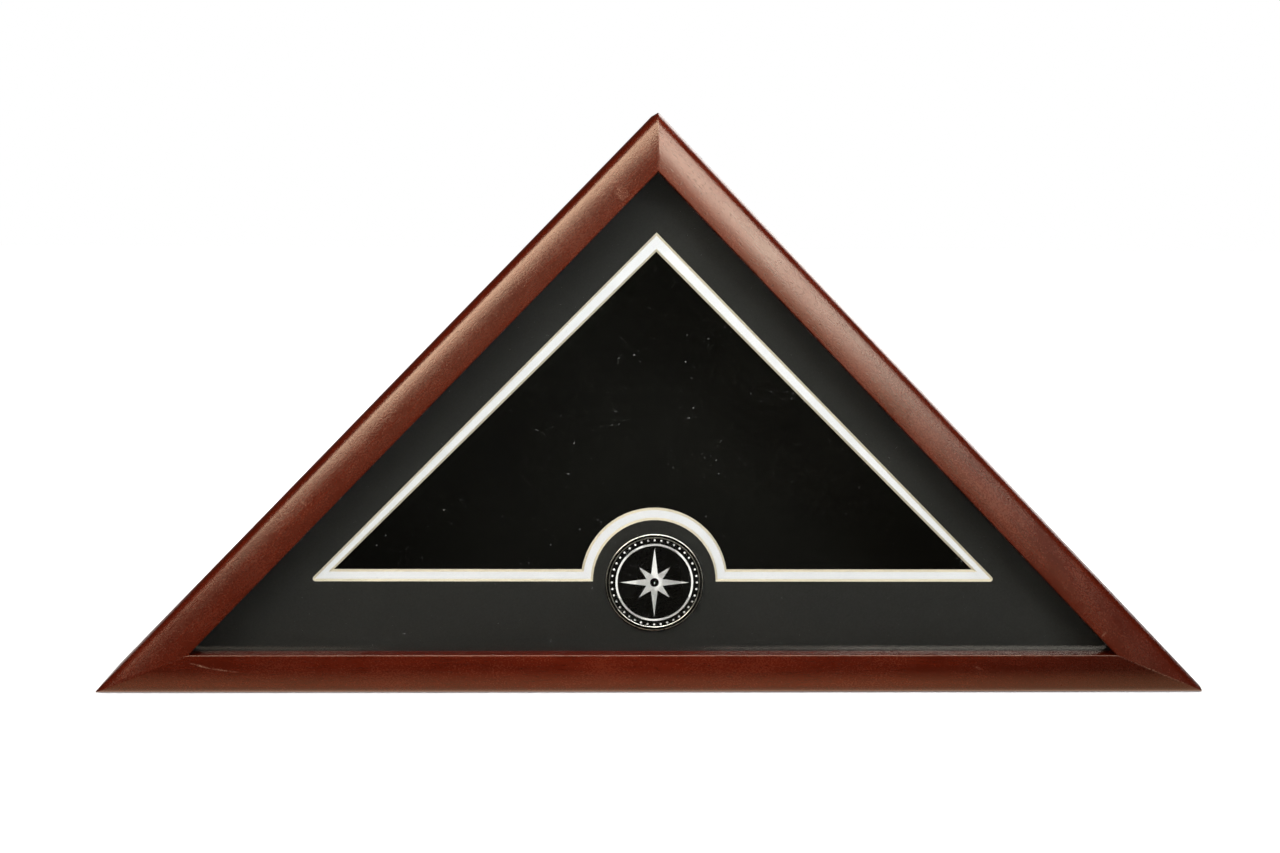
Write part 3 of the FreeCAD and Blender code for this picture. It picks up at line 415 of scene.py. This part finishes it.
def stick(name, side, section, material, groove=0.06):
    """A length of stock mitred at both ends, with eased edges at the joints."""
    n = len(section)
    area = sum(section[i][0] * section[(i + 1) % n][1] - section[(i + 1) % n][0] * section[i][1] for i in range(n))
    flip = 1.0 if area > 0 else -1.0
    inner = []
    for i in range(n):
        a, b, c = section[i - 1], section[i], section[(i + 1) % n]
        t = Vector((c[0] - a[0], c[1] - a[1])).normalized()
        inner.append((b[0] - t.y * flip * groove, b[1] + t.x * flip * groove))
    ends, length = ENDS[side], LONG[side]
    turn = Matrix.Rotation(TURN[side], 3, "Y")
    mx, mz = MIDDLE[side]

    def place(x, u, v):
        p = turn @ Vector((x, 0.0, u)) + Vector((mx, RAIL_BACK - v, mz))
        p.x = -worn(-p.x, WIDTH / 2, TIPS["left"]) if p.x < 0 else worn(p.x, WIDTH / 2, TIPS["right"])
        p.z = worn(max(0.0, p.z), TALL, TIPS["top"])
        return p * MM

    lo = lambda u: -length / 2 + u / math.tan(ends[0])
    hi = lambda u: length / 2 - u / math.tan(ends[1])
    steps = [0.3, 0.8, 1.4, 2.1, 3.0, 4.2, 6.0, 9.0, 15.0]
    bm = bmesh.new()
    rings = []
    rings.append([bm.verts.new(place(lo(u), u, v)) for u, v in inner])
    for s in steps:
        rings.append([bm.verts.new(place(lo(u) + s, u, v)) for u, v in section])
    count = 48
    for k in range(1, count):
        row = []
        for u, v in section:
            a, b = lo(u) + steps[-1], hi(u) - steps[-1]
            row.append(bm.verts.new(place(a + (b - a) * k / count, u, v)))
        rings.append(row)
    for s in reversed(steps):
        rings.append([bm.verts.new(place(hi(u) - s, u, v)) for u, v in section])
    rings.append([bm.verts.new(place(hi(u), u, v)) for u, v in inner])
    for r0, r1 in zip(rings, rings[1:]):
        for i in range(n):
            j = (i + 1) % n
            bm.faces.new((r0[i], r0[j], r1[j], r1[i]))
    bm.faces.new(rings[0][::-1])
    bm.faces.new(rings[-1])
    bmesh.ops.recalc_face_normals(bm, faces=bm.faces)
    me = bpy.data.meshes.new(name)
    bm.to_mesh(me)
    bm.free()
    me.shade_smooth()
    me.set_sharp_from_angle(angle=math.radians(32))
    ob = bpy.data.objects.new(name, me)
    scene.collection.objects.link(ob)
    me.materials.append(material)
    return ob


for side in ("left", "right", "bottom"):
    ob = stick(side + "_rail_moulding", side, rail_section(), WOOD[side])
    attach(ob, "case")
    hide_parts(side + "_front_rail")
    node = "bottom_board" if side == "bottom" else side + "_side_board"
    ob = stick(node + "_stock", side, board_section(), BOARD_WOOD[side])
    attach(ob, "case")
    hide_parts(node)
    paint(side + "_mat_strip", STRIP_WOOD[side])
    paint(side + "_glass_spacer", SPACER)

# ------------------------------------------------------------------ glazing, mats and medallion
paint("glass_pane", GLASS)
for node, face in (("top_mat", MAT_BLACK), ("under_mat", MAT_WHITE)):
    ob = paint(node, face, MAT_CORE)
    for poly in ob.data.polygons:
        poly.material_index = 0 if abs(poly.normal.y) > 0.9 else 1
paint("medallion_pad", FOAM)
paint("medallion_black_inlay", ENAMEL_BLACK)
paint("medallion_white_design", ENAMEL_WHITE)
paint("medallion_dome", DOME)


def turned(name, section, centre, segments=160):
    """Spins a section of (radius, y) about an axis along Y."""
    bm = bmesh.new()
    rings = []
    for r, y in section:
        if r == 0:
            rings.append([bm.verts.new(Vector((centre[0], y, centre[1])) * MM)])
        else:
            rings.append([bm.verts.new(Vector((centre[0] + r * math.cos(2 * math.pi * k / segments), y, centre[1] + r * math.sin(2 * math.pi * k / segments))) * MM) for k in range(segments)])
    for a, b in zip(rings, rings[1:]):
        for k in range(segments):
            j = (k + 1) % segments
            if len(a) == 1:
                bm.faces.new((a[0], b[j], b[k]))
            elif len(b) == 1:
                bm.faces.new((a[k], a[j], b[0]))
            else:
                bm.faces.new((a[k], a[j], b[j], b[k]))
    bmesh.ops.recalc_face_normals(bm, faces=bm.faces)
    me = bpy.data.meshes.new(name)
    bm.to_mesh(me)
    bm.free()
    me.shade_smooth()
    me.set_sharp_from_angle(angle=math.radians(40))
    ob = bpy.data.objects.new(name, me)
    scene.collection.objects.link(ob)
    return ob


def rim_section(back, front, floor_y, outer, inner):
    """The disc's half section: a struck rim with both edges rounded over, and the sunk face."""
    pts = [(0, back), (outer - 0.25, back), (outer, back - 0.25), (outer, front + 0.42)]
    pts += [(outer - 0.42 + 0.42 * math.cos(math.radians(a)), front + 0.42 - 0.42 * math.sin(math.radians(a))) for a in range(12, 91, 13)]
    pts += [(outer - 0.42 - (outer - inner - 0.76) * t, front + 0.10 * math.sin(math.pi * t)) for t in (0.25, 0.5, 0.75)]
    pts += [(inner + 0.34 - 0.34 * math.sin(math.radians(a)), front + 0.34 - 0.34 * math.cos(math.radians(a))) for a in range(0, 91, 15)]
    pts += [(inner, floor_y), (0, floor_y)]
    return pts


disc = turned("medallion_disc_struck", rim_section(-32.044, -33.644, -33.194, 28.5, 26.2), (0.0, 63.4))
disc.data.materials.append(SILVER)
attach(disc, "case")
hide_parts("medallion_disc")

# ------------------------------------------------------------------ back, hardware
paint("back_panel", BOARD)
paint("back_lining", FELT)
paint("sawtooth_hanger", BRASS)
paint("hanger_rivets", BRASS)
for node in nodes:
    if node.startswith("turn_button") or node in ("mitre_v_nails", "mat_strip_brads"):
        paint(node, ZINC)
paint("wall_bumpers", RUBBER)


def lining():
    """Black felt laid on the back's inner face: a thin sheet with a slightly uneven nap."""
    inset = 14.0
    half = WIDTH / 2 - inset / math.tan(HALF)
    front = LAND - 3.6 - 0.8
    rows = 46
    bm = bmesh.new()
    grid = []
    for r in range(rows + 1):
        z = inset + half * math.tan(BASE) * r / rows
        w = half * (1 - r / rows)
        line = []
        for c in range(rows - r + 1):
            x = 0.0 if r == rows else -w + 2 * w * c / (rows - r)
            edge = min(r, c, rows - r - c) / 4.0
            rise = 0.16 * (math.sin(x * 0.045 + 1.1) * math.sin(z * 0.06 + 0.4) + 0.5 * math.sin(x * 0.11 + z * 0.07)) * min(1.0, edge)
            line.append(bm.verts.new(Vector((x, front + 0.28 - abs(rise) + (0.25 if edge == 0 else 0.0), z)) * MM))
        grid.append(line)
    for r in range(rows):
        for c in range(rows - r):
            bm.faces.new((grid[r][c], grid[r][c + 1], grid[r + 1][c]))
            if c + 1 < len(grid[r + 1]):
                bm.faces.new((grid[r][c + 1], grid[r + 1][c + 1], grid[r + 1][c]))
    me = bpy.data.meshes.new("back_lining_felt")
    bm.to_mesh(me)
    bm.free()
    me.shade_smooth()
    ob = bpy.data.objects.new("back_lining_felt", me)
    scene.collection.objects.link(ob)
    me.materials.append(FELT)
    body = ob.modifiers.new("thickness", "SOLIDIFY")
    body.thickness = 0.0005
    body.offset = -1.0 if me.polygons[0].normal.y < 0 else 1.0
    return ob


cloth = lining()
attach(cloth, "back")
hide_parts("back_lining")

# ------------------------------------------------------------------ floor, light and camera


def floor():
    """A white sheet under the case, with a wide pale floor round it. Rays that see it only in reflections meet a
    painted reflection instead: a warm glow in a narrow band in front of the case, dimmed under its front edge as
    painted contact shade, and a plain grey glow behind it.
    """
    m, nt, p, out = new_material("floor_white")
    tc = add(nt, "ShaderNodeTexCoord")
    far = add(nt, "ShaderNodeVectorMath", {0: tc.outputs["Object"]}, operation="LENGTH").outputs["Value"]
    p.inputs["Base Color"].default_value = (0.45, 0.45, 0.448, 1.0)
    p.inputs["Roughness"].default_value = 0.6
    p.inputs["Specular IOR Level"].default_value = 0.2
    p.inputs["Emission Color"].default_value = (1, 1, 1, 1)
    nt.links.new(add(nt, "ShaderNodeMapRange", {"Value": far, "From Min": 0.20, "From Max": 0.75, "To Min": 0.14, "To Max": 1.0}, interpolation_type="SMOOTHSTEP").outputs[0], p.inputs["Emission Strength"])
    xyz = add(nt, "ShaderNodeSeparateXYZ", {0: tc.outputs["Object"]})
    # painted reflection: glossy rays see a warm glow here instead of the floor, strongest just in front of the case
    # and weaker towards it as painted contact shade
    near = math_node(nt, "SUBTRACT", span(nt, xyz.outputs["Y"], -0.068, -0.050, 0.05, 1.40), span(nt, xyz.outputs["Y"], -0.050, -0.036, 0.0, 0.55))
    warm = add(nt, "ShaderNodeEmission", {"Color": (1.0, 0.60, 0.41, 1.0), "Strength": near})
    plain = add(nt, "ShaderNodeEmission", {"Color": (0.78, 0.77, 0.75, 1.0), "Strength": 0.8})
    painted_reflection = add(nt, "ShaderNodeMixShader", {0: span(nt, xyz.outputs["Y"], -0.025, 0.015, 0.0, 1.0), 1: warm.outputs[0], 2: plain.outputs[0]})
    ray = nt.nodes.new("ShaderNodeLightPath")
    nt.links.new(add(nt, "ShaderNodeMixShader", {0: ray.outputs["Is Glossy Ray"], 1: p.outputs[0], 2: painted_reflection.outputs[0]}).outputs[0], out.inputs["Surface"])
    xs, ys = (-9.0, -0.62, 0.62, 9.0), (-9.0, -0.068, 0.42, 9.0)
    for name, near in (("studio_sheet", True), ("studio_floor", False)):
        bm = bmesh.new()
        for i in range(3):
            for j in range(3):
                if (i == 1 and j == 1) == near:
                    bm.faces.new([bm.verts.new((x, y, -0.0002)) for x, y in ((xs[i], ys[j]), (xs[i + 1], ys[j]), (xs[i + 1], ys[j + 1]), (xs[i], ys[j + 1]))])
        me = bpy.data.meshes.new(name)
        bm.to_mesh(me)
        bm.free()
        me.materials.append(m)
        ob = bpy.data.objects.new(name, me)
        scene.collection.objects.link(ob)
        ob.visible_glossy = near


def soft_box(name, azimuth, elevation, distance, size, power, colour=(1, 1, 1), roll=0.0):
    light = bpy.data.lights.new(name, "AREA")
    light.shape = "RECTANGLE"
    light.size, light.size_y = size
    light.energy = power
    light.color = colour
    ob = bpy.data.objects.new(name, light)
    a, e = math.radians(azimuth), math.radians(elevation)
    aim = Vector((0, 0, 0.15))
    ob.location = aim + distance * Vector((math.sin(a) * math.cos(e), -math.cos(a) * math.cos(e), math.sin(e)))
    face = (ob.location - aim).to_track_quat("Z", "Y").to_matrix()
    ob.rotation_euler = (face @ Matrix.Rotation(math.radians(roll), 3, "Z")).to_euler()
    scene.collection.objects.link(ob)
    return ob


floor()
soft_box("softbox_left", -50.2, 34.4, 1.7, (0.88, 0.72), 29.5, (1.0, 0.885, 0.83), -24)
soft_box("softbox_right", 32.5, 27.5, 1.7, (0.80, 0.58), 23, (0.95, 0.97, 1.07), 24)
soft_box("softbox_over", -4, 44, 2.6, (1.68, 0.76), 122)
soft_box("softbox_top", 0, 84, 1.5, (1.2, 0.6), 4)
soft_box("softbox_behind", 140, 26, 1.9, (1.2, 1.0), 20)
# low windows, seen only as reflections in the glass and the lacquer
for name, azimuth, distance, wide, power, colour in (
        ("window_right", 18.1, 3.19, 1.10, 6.6, (1.0, 0.93, 0.82)),
        ("window_edge", 6.3, 3.05, 0.22, 0.60, (1.0, 0.93, 0.82)),
        ("window_left", -14.9, 3.14, 0.80, 1.5, (1.0, 0.90, 0.72))):
    soft_box(name, azimuth, 8.6, distance, (wide, 0.45), power, colour).visible_diffuse = False

world = bpy.data.worlds.new("studio")
scene.world = world
world.use_nodes = True
wn = world.node_tree
for n in list(wn.nodes):
    wn.nodes.remove(n)
wout = wn.nodes.new("ShaderNodeOutputWorld")
seen = add(wn, "ShaderNodeBackground", {"Color": (1, 1, 1, 1), "Strength": 1.0})
wtc = wn.nodes.new("ShaderNodeTexCoord")
wxyz = add(wn, "ShaderNodeSeparateXYZ", {0: wtc.outputs["Generated"]})
dim = add(wn, "ShaderNodeMapRange", {"Value": wxyz.outputs["Y"], "From Min": -0.2, "From Max": 0.6, "To Min": 0.030, "To Max": 0.02})
path = wn.nodes.new("ShaderNodeLightPath")
rear = add(wn, "ShaderNodeMapRange", {"Value": wxyz.outputs["Y"], "From Min": 0.0, "From Max": 0.7, "To Min": 0.0, "To Max": 0.42})
soft = add(wn, "ShaderNodeMath", {0: rear.outputs[0], 1: path.outputs["Is Diffuse Ray"]}, operation="MULTIPLY")
both = add(wn, "ShaderNodeMath", {0: dim.outputs[0], 1: soft.outputs[0]}, operation="ADD")
fill = add(wn, "ShaderNodeBackground", {"Color": (1.0, 0.90, 0.68, 1), "Strength": both.outputs[0]})
wmix = add(wn, "ShaderNodeMixShader", {0: path.outputs["Is Camera Ray"], 1: fill.outputs[0], 2: seen.outputs[0]})
wn.links.new(wmix.outputs[0], wout.inputs["Surface"])

cam_data = bpy.data.cameras.new("camera")
cam = bpy.data.objects.new("camera", cam_data)
scene.collection.objects.link(cam)
scene.camera = cam
yaw, pitch, roll = math.radians(1.9982), math.radians(-5.6385), math.radians(0.3509)
fwd = Vector((math.sin(yaw) * math.cos(pitch), math.cos(yaw) * math.cos(pitch), math.sin(pitch)))
right = Vector((math.cos(yaw), -math.sin(yaw), 0.0))
up = right.cross(fwd)
r2 = right * math.cos(roll) + up * math.sin(roll)
u2 = -right * math.sin(roll) + up * math.cos(roll)
cam.matrix_world = Matrix((
    (r2.x, u2.x, -fwd.x, -0.06016),
    (r2.y, u2.y, -fwd.y, -1.5),
    (r2.z, u2.z, -fwd.z, 0.3),
    (0, 0, 0, 1),
))
cam_data.sensor_fit = "HORIZONTAL"
cam_data.sensor_width = 36.0
cam_data.lens = 2534.97 / 1280.0 * 36.0
cam_data.clip_start = 0.05

scene.view_settings.view_transform = "Standard"
scene.view_settings.look = "None"
